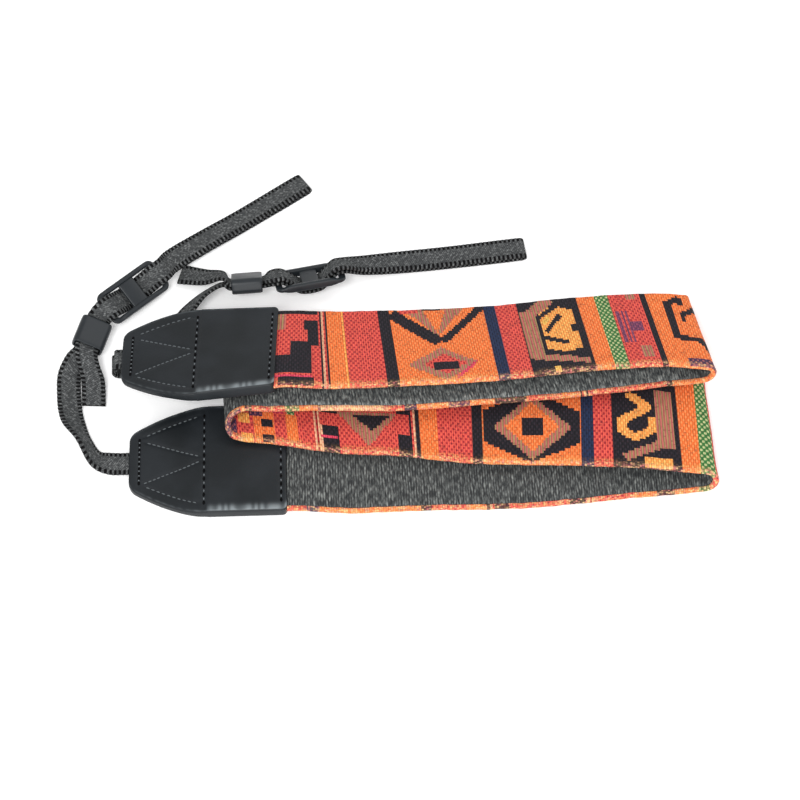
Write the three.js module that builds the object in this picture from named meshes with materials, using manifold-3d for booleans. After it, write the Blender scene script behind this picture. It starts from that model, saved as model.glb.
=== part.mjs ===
// Coiled camera strap: a wide woven band with leather ends, folded to and fro on its backing, and at each end
// a narrow webbing that runs through a keeper and a sliding buckle, doubles back at its loop and ends free.
// Millimetres, +Z up. X runs along the folds, the near edges face -Y, and the strap rests on z = 0.
import * as THREE from "three";
import { mergeVertices } from "three/addons/utils/BufferGeometryUtils.js";
import Module from "manifold-3d";

const wasm = await Module();
wasm.setup();

// Driving sizes
const strap_width = 48;
const fold_span = 200;
const cloth_wall = 0.95;
const hem_width = 3.6;
const piece_gap = 0.3;
const leather_wall = 1.1;
const tab_length = 64.5;
const tab_taper = 30.5;
const tab_tip_width = 25;
const webbing_width = 10;
const webbing_thickness = 1.2;
const buckle_length = 30;
const buckle_bar = 1.7;
const keeper_length = 13;

// Sizes that follow
const band_thickness = 2 * cloth_wall + piece_gap;
const tab_rim = 0.5;
const tab_lip = 1;
const tab_width = strap_width + 2 * (piece_gap + tab_rim);
const tab_thickness = band_thickness + 2 * (leather_wall + piece_gap);
const tip_thickness = webbing_thickness + 2 * (leather_wall + piece_gap);
const strand_step = webbing_thickness + 2 * piece_gap;
const steps_per_row = 3;

// The levels of the band from the pattern side down, as the two rails of its near and far edge.
// along: share of the fold span and depth: share of the strap width, both of the near edge,
// lift: height of the far edge in band thicknesses, turn and lean: degrees, the near edge being the high one.
const top_level = [
  { along: -0.143, depth: -0.16, lift: 3.73, turn: 4, lean: 18 },
  { along: 0.002, depth: -0.117, lift: 2.73, turn: 6.5, lean: 18.8 },
  { along: 0.196, depth: -0.058, lift: 2.27, turn: 7.2, lean: 19.7 },
  { along: 0.399, depth: 0.033, lift: 2.5, turn: 8.3, lean: 19.9 },
  { along: 0.555, depth: 0.056, lift: 3.2, turn: 8.8, lean: 19.7 },
  { along: 0.622, depth: 0.03, lift: 3.45, turn: 6.6, lean: 18.8 },
];
const second_level = [
  { along: 0.622, depth: 0.01, lift: 1.8, turn: 6.6, lean: 11.5 },
  { along: 0.558, depth: -0.014, lift: 1.6, turn: 9, lean: 11.5 },
  { along: 0.35, depth: -0.122, lift: 1, turn: 9, lean: 12.5 },
  { along: 0.144, depth: -0.214, lift: 0.95, turn: 9.5, lean: 14 },
  { along: -0.002, depth: -0.272, lift: 1.1, turn: 9, lean: 14.5 },
  { along: -0.163, depth: -0.289, lift: 2.3, turn: 8, lean: 13 },
  { along: -0.265, depth: -0.308, lift: 3.4, turn: 7, lean: 11 },
  { along: -0.32, depth: -0.31, lift: 3.65, turn: 6.5, lean: 10.5 },
];
const third_level = [
  { along: -0.321, depth: -0.498, lift: 2.38, turn: 7, lean: 3.2 },
  { along: -0.245, depth: -0.537, lift: 2.38, turn: 7, lean: 3.2 },
  { along: -0.129, depth: -0.604, lift: 1.65, turn: 5.5, lean: 4 },
  { along: 0, depth: -0.631, lift: 1.35, turn: 4, lean: 4.5 },
  { along: 0.139, depth: -0.7, lift: 1.4, turn: 1, lean: 4.5 },
  { along: 0.367, depth: -0.73, lift: 1.6, turn: -1.5, lean: 4.5 },
  { along: 0.488, depth: -0.766, lift: 1.9, turn: 0, lean: 5 },
  { along: 0.578, depth: -0.815, lift: 2.1, turn: 1, lean: 5.6 },
  { along: 0.62, depth: -0.84, lift: 2.2, turn: 0.5, lean: 6 },
];
const bottom_level = [
  { along: 0.621, depth: -0.912, lift: 0.78, turn: 0.5, lean: 0 },
  { along: 0.472, depth: -0.975, lift: 0.58, turn: 2.6, lean: 0 },
  { along: 0.262, depth: -1.068, lift: 0.58, turn: 3.7, lean: 0 },
  { along: 0.041, depth: -1.095, lift: 0.6, turn: 3.4, lean: 0 },
  { along: -0.101, depth: -1.124, lift: 0.8, turn: 2.5, lean: 0 },
];

// The tabs, placed by the middle of the mouth that the band leaves by, rise in tab thicknesses. climb is the
// slope from tip to mouth, tip_lean the lean at the tip, and face is 1 with the pattern side up.
const tab_a_pose = {
  along: -0.254, depth: 0.277, rise: 3.82, turn: 1.5, climb: 5.4, lean: 18.5, tip_lean: 10, face: 1,
};
const tab_b_pose = {
  along: -0.2325, depth: -0.612, rise: 0.5, turn: 1.8, climb: 0, lean: 0, tip_lean: 0, face: -1,
};

// Keepers and buckles, placed by their middle, and the strap between and beyond them by its own middle.
// along and depth are shares as above, rise is in webbing widths, turn is the heading of the strap's rails.
const keeper_a_pose = { along: -0.325, depth: 1.108, rise: 0.72, turn: 5, lean: 42 };
const buckle_a_pose = { along: -0.193, depth: 1.167, rise: 0.69, turn: 12, lean: 28 };
const keeper_b_pose = { along: -0.647, depth: 0.585, rise: 0.6, turn: -106, lean: 18 };
const buckle_b_pose = { along: -0.566, depth: 1.02, rise: 0.66, turn: -138.5, lean: 22 };

const webbing_a_start = [
  { along: -0.588, depth: 0.237, rise: 1.12, turn: 2, lean: 10 },
  { along: -0.597, depth: 0.252, rise: 0.78, turn: 4, lean: 8 },
  { along: -0.589, depth: 0.275, rise: 0.36, turn: 9, lean: 4 },
  { along: -0.56, depth: 0.34, rise: 0.14, turn: 22, lean: 0 },
  { along: -0.515, depth: 0.48, rise: 0.13, turn: 38, lean: 0 },
  { along: -0.478, depth: 0.66, rise: 0.28, turn: 50, lean: 22 },
  { along: -0.448, depth: 0.86, rise: 0.46, turn: 48, lean: 40 },
  { along: -0.414, depth: 1.01, rise: 0.6, turn: 30, lean: 52 },
  { along: -0.376, depth: 1.095, rise: 0.7, turn: 9, lean: 50 },
];
const webbing_a_far = [
  { along: -0.08, depth: 1.325, rise: 0.5, turn: 9, lean: 16 },
  { along: -0.01, depth: 1.385, rise: 0.25, turn: 8, lean: 4 },
  { along: 0.107, depth: 1.45, rise: 0.19, turn: 8.5, lean: 0 },
  { along: 0.262, depth: 1.542, rise: 0.18, turn: 9, lean: 0 },
];
const webbing_a_tail = [
  { along: -0.376, depth: 1.182, rise: 0.72, turn: 0, lean: 38 },
  { along: -0.415, depth: 1.219, rise: 0.34, turn: -9, lean: 18 },
  { along: -0.47, depth: 1.279, rise: 0.12, turn: -14, lean: 3 },
];
const webbing_b_start = [
  { along: -0.595, depth: -0.654, rise: 0.21, turn: 2, lean: 0 },
  { along: -0.622, depth: -0.625, rise: 0.32, turn: -14, lean: 22 },
  { along: -0.651, depth: -0.438, rise: 0.5, turn: -48, lean: 50 },
  { along: -0.678, depth: -0.219, rise: 0.3, turn: -76, lean: 20 },
  { along: -0.69, depth: 0.062, rise: 0.13, turn: -88, lean: 0 },
  { along: -0.69, depth: 0.24, rise: 0.2, turn: -96, lean: 4 },
  { along: -0.6735, depth: 0.38, rise: 0.4, turn: -104, lean: 12 },
];
const webbing_b_far = [
  { along: -0.49, depth: 1.354, rise: 0.56, turn: -142, lean: 14 },
  { along: -0.42, depth: 1.604, rise: 0.34, turn: -143, lean: 3 },
  { along: -0.3465, depth: 1.831, rise: 0.22, turn: -143, lean: 0 },
  { along: -0.212, depth: 2.245, rise: 0.18, turn: -143, lean: 0 },
];
const webbing_b_tail = [
  { along: -0.652, depth: 0.312, rise: 0.6, turn: -99, lean: 8 },
  { along: -0.6405, depth: 0.167, rise: 0.34, turn: -94, lean: 3 },
  { along: -0.636, depth: -0.073, rise: 0.13, turn: -92, lean: 0 },
];

function headingOf(turn) {
  const angle = THREE.MathUtils.degToRad(turn);
  return new THREE.Vector3(Math.cos(angle), Math.sin(angle), 0);
}

// The direction across a strap, from its near rail to its far rail.
function acrossOf(turn, lean) {
  const heading = headingOf(turn);
  const tilt = THREE.MathUtils.degToRad(lean);
  return new THREE.Vector3(-heading.y * Math.cos(tilt), heading.x * Math.cos(tilt), -Math.sin(tilt));
}

function railsAbout(middle, across, width) {
  return {
    near: middle.clone().addScaledVector(across, -width / 2),
    far: middle.clone().addScaledVector(across, width / 2),
  };
}

function levelRails(row) {
  const across = acrossOf(row.turn, row.lean);
  const drop = across.z * strap_width;
  const height = row.lift * band_thickness - drop;
  const near = new THREE.Vector3(row.along * fold_span, row.depth * strap_width, height);
  return { near, far: near.clone().addScaledVector(across, strap_width) };
}

// Half a turn about the end of a fold: each rail swings round the middle between its two levels.
function foldRails(from, to, heading) {
  return [0.25, 0.5, 0.75].map((share) => {
    const swing = (rail) => {
      const middle = from[rail].clone().lerp(to[rail], 0.5);
      const half = from[rail].clone().sub(middle);
      return middle
        .addScaledVector(heading, half.length() * Math.sin(share * Math.PI))
        .addScaledVector(half, Math.cos(share * Math.PI));
    };
    return { near: swing("near"), far: swing("far") };
  });
}

function poseMatrix(pose) {
  const heading = headingOf(pose.turn);
  const across = acrossOf(pose.turn, pose.lean);
  const normal = heading.clone().cross(across);
  return new THREE.Matrix4()
    .makeBasis(heading, across, normal)
    .setPosition(pose.along * fold_span, pose.depth * strap_width, pose.rise * webbing_width);
}

// Rails of a webbing that runs through a keeper or a buckle, at these distances along and above its middle.
function railsInPose(pose, places) {
  const matrix = poseMatrix(pose);
  const across = acrossOf(pose.turn, pose.lean);
  return places.map(({ run, above }) => {
    const middle = new THREE.Vector3(run, 0, above).applyMatrix4(matrix);
    return railsAbout(middle, across, webbing_width);
  });
}

// Rails inside a tab, at these distances from its mouth and above its middle plane.
function tabRails(pose, places, width) {
  const height = pose.rise * tab_thickness;
  const mouth = new THREE.Vector3(pose.along * fold_span, pose.depth * strap_width, height);
  const forward = headingOf(pose.turn);
  forward.z = Math.tan(THREE.MathUtils.degToRad(pose.climb));
  forward.normalize();
  return places.map(({ run, above }) => {
    const lean = pose.lean + ((pose.tip_lean - pose.lean) * -run) / tab_length;
    const across = acrossOf(pose.turn, lean);
    across.addScaledVector(forward, -forward.dot(across)).normalize();
    const normal = forward.clone().cross(across);
    const middle = mouth.clone().addScaledVector(forward, run).addScaledVector(normal, above);
    return railsAbout(middle, across, width);
  });
}

function rowRails(row) {
  const middle = new THREE.Vector3(row.along * fold_span, row.depth * strap_width, row.rise * webbing_width);
  return railsAbout(middle, acrossOf(row.turn, row.lean), webbing_width);
}

// A cross-section (across, thickness) swept between two smooth rails. shaped changes a point of the section
// at its share of the way, where the section isn't the same all along.
const unshaped = (sideways, outward) => [sideways, outward];

function sweepBetween(rails, outline, rate = steps_per_row, shaped = unshaped) {
  const near = new THREE.CatmullRomCurve3(rails.map((rail) => rail.near), false, "centripetal");
  const far = new THREE.CatmullRomCurve3(rails.map((rail) => rail.far), false, "centripetal");
  const steps = (rails.length - 1) * rate;
  const straight = new THREE.ExtrudeGeometry(outline, { depth: 1, steps, bevelEnabled: false });
  const place = straight.getAttribute("position");
  const point = new THREE.Vector3();
  for (let index = 0; index < place.count; index += 1) {
    const share = place.getZ(index);
    const [sideways, outward] = shaped(place.getX(index), place.getY(index), share);
    const across = far.getPoint(share).sub(near.getPoint(share)).normalize();
    const forward = near.getTangent(share).add(far.getTangent(share));
    const normal = forward.cross(across).normalize();
    point.addVectors(near.getPoint(share), far.getPoint(share)).multiplyScalar(0.5);
    point.addScaledVector(across, sideways).addScaledVector(normal, outward);
    place.setXYZ(index, point.x, point.y, point.z);
  }
  straight.computeVertexNormals();
  return straight;
}

function solidOf(geometry) {
  const bare = geometry.clone().deleteAttribute("normal").deleteAttribute("uv");
  const merged = mergeVertices(bare, 1e-4);
  return new wasm.Manifold(
    new wasm.Mesh({
      numProp: 3,
      vertProperties: merged.getAttribute("position").array,
      triVerts: new Uint32Array(merged.index.array),
    }),
  );
}

function geometryOf(solid) {
  const mesh = solid.getMesh();
  const geometry = new THREE.BufferGeometry();
  geometry.setAttribute("position", new THREE.BufferAttribute(mesh.vertProperties, 3));
  geometry.setIndex(new THREE.BufferAttribute(mesh.triVerts, 1));
  geometry.computeVertexNormals();
  return geometry;
}

const colours = {
  woven: { color: 0xd8603c, roughness: 0.9 },
  backing: { color: 0x464a4a, roughness: 0.95 },
  leather: { color: 0x2e3338, roughness: 0.5 },
  webbing: { color: 0x4a4a4a, roughness: 0.85 },
  plastic: { color: 0x33383c, roughness: 0.35 },
};

const strap = new THREE.Group();

function add(name, geometry, look) {
  const mesh = new THREE.Mesh(geometry, new THREE.MeshStandardMaterial({ ...colours[look], metalness: 0 }));
  mesh.name = name;
  strap.add(mesh);
  return mesh;
}

// The band: the woven face with its hems turned round the edges, and the backing between the hems.
function bandRails() {
  const reach = tab_length - tab_taper - piece_gap;
  const places = [-reach, -reach / 2, -tab_lip, 4 * tab_lip].map((run) => ({ run, above: 0 }));
  const levels = [top_level, second_level, third_level, bottom_level].map((rows) => rows.map(levelRails));
  const rails = tabRails(tab_a_pose, places, strap_width);
  levels.forEach((level, index) => {
    if (index > 0) {
      const side = index === 2 ? -1 : 1;
      const last = levels[index - 1].at(-1);
      const rows = [top_level, second_level, third_level][index - 1];
      rails.push(...foldRails(last, level[0], headingOf(rows.at(-1).turn).multiplyScalar(side)));
    }
    rails.push(...level);
  });
  const ends = tabRails(tab_b_pose, places, strap_width);
  rails.push(...ends.reverse());
  return rails;
}

function shapeOf(points) {
  return new THREE.Shape(points.map(([x, y]) => new THREE.Vector2(x, y)));
}

const cloth_round = 0.7;

function wovenOutline() {
  const half = strap_width / 2;
  const top = band_thickness / 2;
  const inner = top - cloth_wall;
  const soft = half - cloth_round * cloth_wall;
  const hem = half - hem_width;
  const right = [[hem, -inner], [hem, -top], [soft, -top], [half, 0], [soft, top]];
  const left = right.map(([x, y]) => [-x, y]).reverse();
  const fold = half - cloth_wall;
  return shapeOf([...right, ...left, [-fold, -inner], [-fold, inner], [fold, inner], [fold, -inner]]);
}

function plainOutline(width, low, high) {
  return shapeOf([[-width / 2, low], [width / 2, low], [width / 2, high], [-width / 2, high]]);
}

const band_rails = bandRails();
add("woven_face", sweepBetween(band_rails, wovenOutline()), "woven");
const backing_width = strap_width - 2 * (hem_width + piece_gap);
const backing_outline = plainOutline(backing_width, -band_thickness / 2, -band_thickness / 2 + cloth_wall);
add("backing", sweepBetween(band_rails, backing_outline), "backing");

// Leather tabs: tapered from the shoulder to the tip, thinner there, and hollow for the band and the webbing.
const tab_slot_middle = tab_thickness / 2 - tip_thickness / 2;
const tab_corner = { tip: 3, mouth: 2 };
const tab_bow = 1.6;
const tab_edge = { pattern_side: 0.5, back: 0.8 };
const tab_step = { from: 3.5, length: 2.5 };
const tab_stations = [
  ...[0, 0.13, 0.4, 0.83].map((share) => share * tab_corner.tip),
  ...[0.18, 0.32, 0.46, 0.61, 0.76, 0.88, 0.96, 1].map((share) => share * tab_taper),
  ...[0.27, 0.53, 0.77].map((share) => tab_taper + share * (tab_length - tab_taper)),
  ...[1, 0.3, 0].map((share) => tab_length - share * tab_corner.mouth),
];

function cornerCut(distance, radius) {
  const inside = Math.min(distance, radius);
  return radius - Math.sqrt(radius ** 2 - (radius - inside) ** 2);
}

function tabHalfWidth(distance) {
  const [tip, full] = [tab_tip_width / 2, tab_width / 2];
  const opening = Math.min(distance / tab_taper, 1);
  const half = tip + (full - tip) * (1 - (1 - opening) ** tab_bow);
  return half - cornerCut(distance, tab_corner.tip) - cornerCut(tab_length - distance, tab_corner.mouth);
}

function tabOutline(face) {
  const [half, high] = [tab_width / 2, tab_thickness / 2];
  const { pattern_side: soft, back } = tab_edge;
  const right = [[half - back, -high], [half, -high + back], [half, high - soft], [half - soft, high]];
  const left = right.map(([x, y]) => [-x, y]).reverse();
  return shapeOf([...right, ...left].map(([x, y]) => [x, face * y]));
}

function tabGeometry(pose) {
  const body_places = tab_stations.map((distance) => ({ run: distance - tab_length, above: 0 }));
  const shaped = (sideways, outward, share) => {
    const distance = tab_stations[Math.round(share * (tab_stations.length - 1))];
    const widening = (2 * tabHalfWidth(distance)) / tab_width;
    const swell = THREE.MathUtils.clamp((distance - tab_taper + tab_step.from) / tab_step.length, 0, 1);
    const thin = (2 * tip_thickness) / tab_thickness - 1;
    const thinning = outward * pose.face < 0 ? THREE.MathUtils.lerp(thin, 1, swell) : 1;
    return [sideways * widening, outward * thinning];
  };
  const body = sweepBetween(tabRails(pose, body_places, tab_width), tabOutline(pose.face), 1, shaped);
  const shoulder = tab_taper - tab_length;
  const pocket_places = [shoulder, shoulder / 2, -tab_lip, 2 * tab_lip].map((run) => ({ run, above: 0 }));
  const pocket_high = band_thickness / 2 + piece_gap;
  const pocket_outline = plainOutline(strap_width + 2 * piece_gap, -pocket_high, pocket_high);
  const pocket = sweepBetween(tabRails(pose, pocket_places, strap_width), pocket_outline);
  const above = pose.face * tab_slot_middle;
  const slot_end = shoulder - 5 * tab_lip;
  const slot_runs = [-tab_length - 2 * tab_lip, -tab_length + tab_lip, (slot_end - tab_length) / 2, slot_end];
  const slot_places = slot_runs.map((run) => ({ run, above }));
  const slot_high = webbing_thickness / 2 + piece_gap;
  const slot_outline = plainOutline(webbing_width + 2 * piece_gap, -slot_high, slot_high);
  const slot = sweepBetween(tabRails(pose, slot_places, webbing_width), slot_outline);
  return geometryOf(solidOf(body).subtract(solidOf(pocket)).subtract(solidOf(slot)));
}

// The sliding buckle: two tall side rails, two end bars and the broad bar in the middle.
const buckle_slot = 0.28 * buckle_length;
const buckle_middle_bar = 0.247 * buckle_length;
const buckle_rail = { width: 2.2, height: 2 * buckle_bar, inset: 3, soft: 0.4 };
const buckle_corner = { outside: 3, slot: 0.8, rail: 0.3 };
const side_room = 1.5 * piece_gap;
const buckle_inside = webbing_width + 2 * side_room;
const buckle_width = buckle_inside + 2 * buckle_rail.width;

function roundedRectangle(length, width, radius) {
  const [x, y] = [length / 2 - radius, width / 2 - radius];
  const shape = new THREE.Shape();
  shape.absarc(x, -y, radius, -Math.PI / 2, 0, false);
  shape.absarc(x, y, radius, 0, Math.PI / 2, false);
  shape.absarc(-x, y, radius, Math.PI / 2, Math.PI, false);
  shape.absarc(-x, -y, radius, Math.PI, Math.PI * 1.5, false);
  return shape;
}

function buckleGeometry() {
  const plan = roundedRectangle(buckle_length, buckle_width, buckle_corner.outside);
  for (const side of [-1, 1]) {
    const hole = roundedRectangle(buckle_slot, buckle_inside, buckle_corner.slot);
    const middle = side * (buckle_middle_bar + buckle_slot) / 2;
    plan.holes.push(new THREE.Path(hole.getPoints(3).map((point) => point.setX(point.x + middle)).reverse()));
  }
  const options = { bevelEnabled: false, curveSegments: 3 };
  const plate = new THREE.ExtrudeGeometry(plan, { depth: buckle_bar, ...options });
  plate.translate(0, 0, -buckle_bar / 2);
  let body = solidOf(plate);
  for (const side of [-1, 1]) {
    const { width, height, inset, soft } = buckle_rail;
    const section = roundedRectangle(buckle_length - 2 * inset, width - 2 * soft, buckle_corner.rail);
    const bevel = { bevelThickness: soft, bevelSize: soft, bevelSegments: 2, curveSegments: 2 };
    const rail = new THREE.ExtrudeGeometry(section, { depth: height - 2 * soft, ...bevel });
    rail.translate(0, side * (buckle_width - width) / 2, -height / 2 + soft);
    body = body.add(solidOf(rail));
  }
  return geometryOf(body);
}

// The keeper: a short flat sleeve round both strands.
const keeper_form = { wall: 1.3, outside: 1.6, hole_corner: 0.6 };

function keeperGeometry() {
  const { wall, outside, hole_corner } = keeper_form;
  const inside = { width: webbing_width + 2 * side_room, height: 2 * webbing_thickness + 6 * piece_gap };
  const plan = roundedRectangle(inside.height + 2 * wall, inside.width + 2 * wall, outside);
  const hole = roundedRectangle(inside.height, inside.width, hole_corner);
  plan.holes.push(new THREE.Path(hole.getPoints(3).reverse()));
  const settings = { depth: keeper_length, bevelEnabled: false, curveSegments: 3 };
  const sleeve = new THREE.ExtrudeGeometry(plan, settings);
  sleeve.translate(0, 0, -keeper_length / 2).rotateY(Math.PI / 2);
  return sleeve;
}

// Two strands lie on each other beyond the keeper: the lower leaves the tab and the upper is its way back.
function strandRails(pair, side) {
  return pair.map((rail, index) => {
    const before = pair[Math.max(index - 1, 0)];
    const after = pair[Math.min(index + 1, pair.length - 1)];
    const forward = after.near.clone().add(after.far).sub(before.near).sub(before.far);
    const across = rail.far.clone().sub(rail.near);
    const shift = forward.cross(across).setLength(side * strand_step / 2);
    return { near: rail.near.clone().add(shift), far: rail.far.clone().add(shift) };
  });
}

function webbingRails(tab, start, keeper, buckle, far, tail, way) {
  const slot_run = -tab_length + 0.6 * (tab_taper - 5 * tab_lip);
  const in_tab = [slot_run, (slot_run - tab_length) / 2, -tab_length, -tab_length - 3 * tab_lip];
  const above = tab.face * tab_slot_middle;
  const rails = tabRails(tab, in_tab.map((run) => ({ run, above })), webbing_width);
  rails.push(...start.map(rowRails));
  const half = keeper_length / 2;
  const sleeve_runs = [-half - tab_lip, -half / 3, half / 3, half + tab_lip];
  const through = sleeve_runs.map((run) => ({ run: run * way, above: 0 }));
  const end_bar = (buckle_length + buckle_middle_bar + 2 * buckle_slot) / 4;
  const slot_middle = (buckle_middle_bar + buckle_slot) / 2;
  const bar_edge = buckle_middle_bar / 2 + piece_gap;
  const slot_edge = bar_edge + buckle_slot - 2 * piece_gap;
  const over = buckle_bar / 2 + 1.2 * piece_gap + strand_step;
  const weave = [
    { run: -end_bar - 2, above: over },
    { run: -slot_edge, above: over },
    { run: -slot_middle, above: 0 },
    { run: -bar_edge, above: -over },
    { run: bar_edge, above: -over },
    { run: slot_middle, above: 0 },
    { run: slot_edge, above: over },
    { run: end_bar + 2, above: over },
  ].map(({ run, above }) => ({ run: run * way, above }));
  const pair = [
    ...railsInPose(keeper, through),
    ...railsInPose(buckle, weave),
    ...far.map(rowRails),
  ];
  const lower = strandRails(pair, -way);
  const upper = strandRails(pair, way);
  const loop = foldRails(lower.at(-1), upper.at(-1), headingOf(far.at(-1).turn).multiplyScalar(way));
  return [...rails, ...lower, ...loop, ...upper.reverse(), ...tail.map(rowRails)];
}

function placed(name, geometry, pose) {
  add(name, geometry, "plastic").applyMatrix4(poseMatrix(pose));
}

add("leather_tab_a", tabGeometry(tab_a_pose), "leather");
add("leather_tab_b", tabGeometry(tab_b_pose), "leather");
placed("keeper_a", keeperGeometry(), keeper_a_pose);
placed("keeper_b", keeperGeometry(), keeper_b_pose);
placed("buckle_a", buckleGeometry(), buckle_a_pose);
placed("buckle_b", buckleGeometry(), buckle_b_pose);

const webbing_outline = plainOutline(webbing_width, -webbing_thickness / 2, webbing_thickness / 2);
const webbing_a_rails = webbingRails(
  tab_a_pose, webbing_a_start, keeper_a_pose, buckle_a_pose, webbing_a_far, webbing_a_tail, 1,
);
const webbing_b_rails = webbingRails(
  tab_b_pose, webbing_b_start, keeper_b_pose, buckle_b_pose, webbing_b_far, webbing_b_tail, -1,
);
add("webbing_a", sweepBetween(webbing_a_rails, webbing_outline), "webbing");
add("webbing_b", sweepBetween(webbing_b_rails, webbing_outline), "webbing");

// The origin is the middle of the surface that the strap rests on.
const bounds = new THREE.Box3().setFromObject(strap, true);
const middle = bounds.getCenter(new THREE.Vector3());
strap.children.forEach((mesh) => {
  mesh.position.sub(new THREE.Vector3(middle.x, middle.y, bounds.min.z));
});

export default strap;
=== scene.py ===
import bpy
import numpy as np
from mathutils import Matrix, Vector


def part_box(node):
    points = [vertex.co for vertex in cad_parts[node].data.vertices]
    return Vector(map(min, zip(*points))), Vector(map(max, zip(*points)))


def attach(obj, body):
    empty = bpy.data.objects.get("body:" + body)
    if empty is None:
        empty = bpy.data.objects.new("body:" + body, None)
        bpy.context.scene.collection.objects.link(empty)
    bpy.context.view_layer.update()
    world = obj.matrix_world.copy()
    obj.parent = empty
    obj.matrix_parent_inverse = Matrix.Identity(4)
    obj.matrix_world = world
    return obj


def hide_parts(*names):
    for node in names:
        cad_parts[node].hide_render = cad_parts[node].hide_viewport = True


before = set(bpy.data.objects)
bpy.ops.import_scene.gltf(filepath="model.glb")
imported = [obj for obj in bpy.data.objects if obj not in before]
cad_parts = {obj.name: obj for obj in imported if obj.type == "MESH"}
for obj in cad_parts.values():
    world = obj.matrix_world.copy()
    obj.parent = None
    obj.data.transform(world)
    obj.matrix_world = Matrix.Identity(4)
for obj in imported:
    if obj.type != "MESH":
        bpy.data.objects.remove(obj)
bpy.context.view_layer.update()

# The camera strap, folded to and fro: a woven band on its backing, between two leather ends, each with a
# narrow webbing that runs through a keeper and a sliding buckle, doubles back and ends free.
# Metres and degrees. The near edge of a strap faces -Y. Tables repeat the solids' own rows.

strap = {
    "width": 0.048, "foldSpan": 0.200, "clothWall": 0.00095, "hem": 0.0036, "gap": 0.0003,
    "leatherWall": 0.0011, "rim": 0.0005, "lip": 0.001,
    "tabLength": 0.0645, "tabTaper": 0.0305, "tabTip": 0.025,
    "webbingWidth": 0.010, "webbingThick": 0.0012,
    "buckleLength": 0.030, "buckleBar": 0.0017, "keeperLength": 0.013,
}
bandThick = 2 * strap["clothWall"] + strap["gap"]
tabWidth = strap["width"] + 2 * (strap["gap"] + strap["rim"])
tabThick = bandThick + 2 * (strap["leatherWall"] + strap["gap"])
tipThick = strap["webbingThick"] + 2 * (strap["leatherWall"] + strap["gap"])
strandStep = strap["webbingThick"] + 2 * strap["gap"]

# Columns: along (share of the fold span), depth (share of the strap width), lift of the far edge
# (band thicknesses), turn, lean. Along and depth place the near edge.
levels = [
    [
        (-0.143, -0.16, 3.73, 4, 18), (0.002, -0.117, 2.73, 6.5, 18.8), (0.196, -0.058, 2.27, 7.2, 19.7),
        (0.399, 0.033, 2.5, 8.3, 19.9), (0.555, 0.056, 3.2, 8.8, 19.7), (0.622, 0.03, 3.45, 6.6, 18.8),
    ],
    [
        (0.622, 0.01, 1.8, 6.6, 11.5), (0.558, -0.014, 1.6, 9, 11.5), (0.35, -0.122, 1, 9, 12.5),
        (0.144, -0.214, 0.95, 9.5, 14), (-0.002, -0.272, 1.1, 9, 14.5), (-0.163, -0.289, 2.3, 8, 13),
        (-0.265, -0.308, 3.4, 7, 11), (-0.32, -0.31, 3.65, 6.5, 10.5),
    ],
    [
        (-0.321, -0.498, 2.38, 7, 3.2), (-0.245, -0.537, 2.38, 7, 3.2), (-0.129, -0.604, 1.65, 5.5, 4),
        (0, -0.631, 1.35, 4, 4.5), (0.139, -0.7, 1.4, 1, 4.5), (0.367, -0.73, 1.6, -1.5, 4.5),
        (0.488, -0.766, 1.9, 0, 5), (0.578, -0.815, 2.1, 1, 5.6), (0.62, -0.84, 2.2, 0.5, 6),
    ],
    [
        (0.621, -0.912, 0.78, 0.5, 0), (0.472, -0.975, 0.58, 2.6, 0), (0.262, -1.068, 0.58, 3.7, 0),
        (0.041, -1.095, 0.6, 3.4, 0), (-0.101, -1.124, 0.8, 2.5, 0),
    ],
]
tabPoses = {
    "a": {"along": -0.254, "depth": 0.277, "rise": 3.82, "turn": 1.5, "climb": 5.4, "lean": 18.5,
          "tipLean": 10, "face": 1},
    "b": {"along": -0.2325, "depth": -0.612, "rise": 0.5, "turn": 1.8, "climb": 0, "lean": 0,
          "tipLean": 0, "face": -1},
}
# Columns: along, depth, rise (webbing widths), turn, lean, of the middle of a webbing, keeper or buckle.
fittings = {
    "a": {"keeper": (-0.325, 1.108, 0.72, 5, 42), "buckle": (-0.193, 1.167, 0.69, 12, 28), "way": 1},
    "b": {"keeper": (-0.647, 0.585, 0.6, -106, 18), "buckle": (-0.566, 1.02, 0.66, -138.5, 22), "way": -1},
}
webbings = {
    "a": {
        "start": [
            (-0.588, 0.237, 1.12, 2, 10), (-0.597, 0.252, 0.78, 4, 8), (-0.589, 0.275, 0.36, 9, 4),
            (-0.56, 0.34, 0.14, 22, 0), (-0.515, 0.48, 0.13, 38, 0), (-0.478, 0.66, 0.28, 50, 22),
            (-0.448, 0.86, 0.46, 48, 40), (-0.414, 1.01, 0.6, 30, 52), (-0.376, 1.095, 0.7, 9, 50),
        ],
        "far": [
            (-0.08, 1.325, 0.5, 9, 16), (-0.01, 1.385, 0.25, 8, 4), (0.107, 1.45, 0.19, 8.5, 0),
            (0.262, 1.542, 0.18, 9, 0),
        ],
        "tail": [(-0.376, 1.182, 0.72, 0, 38), (-0.415, 1.219, 0.34, -9, 18), (-0.47, 1.279, 0.12, -14, 3)],
    },
    "b": {
        "start": [
            (-0.595, -0.654, 0.21, 2, 0), (-0.622, -0.625, 0.32, -14, 22), (-0.651, -0.438, 0.5, -48, 50),
            (-0.678, -0.219, 0.3, -76, 20), (-0.69, 0.062, 0.13, -88, 0), (-0.69, 0.24, 0.2, -96, 4),
            (-0.6735, 0.38, 0.4, -104, 12),
        ],
        "far": [
            (-0.49, 1.354, 0.56, -142, 14), (-0.42, 1.604, 0.34, -143, 3), (-0.3465, 1.831, 0.22, -143, 0),
            (-0.212, 2.245, 0.18, -143, 0),
        ],
        "tail": [
            (-0.652, 0.312, 0.6, -99, 8), (-0.6405, 0.167, 0.34, -94, 3), (-0.636, -0.073, 0.13, -92, 0),
        ],
    },
}


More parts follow.
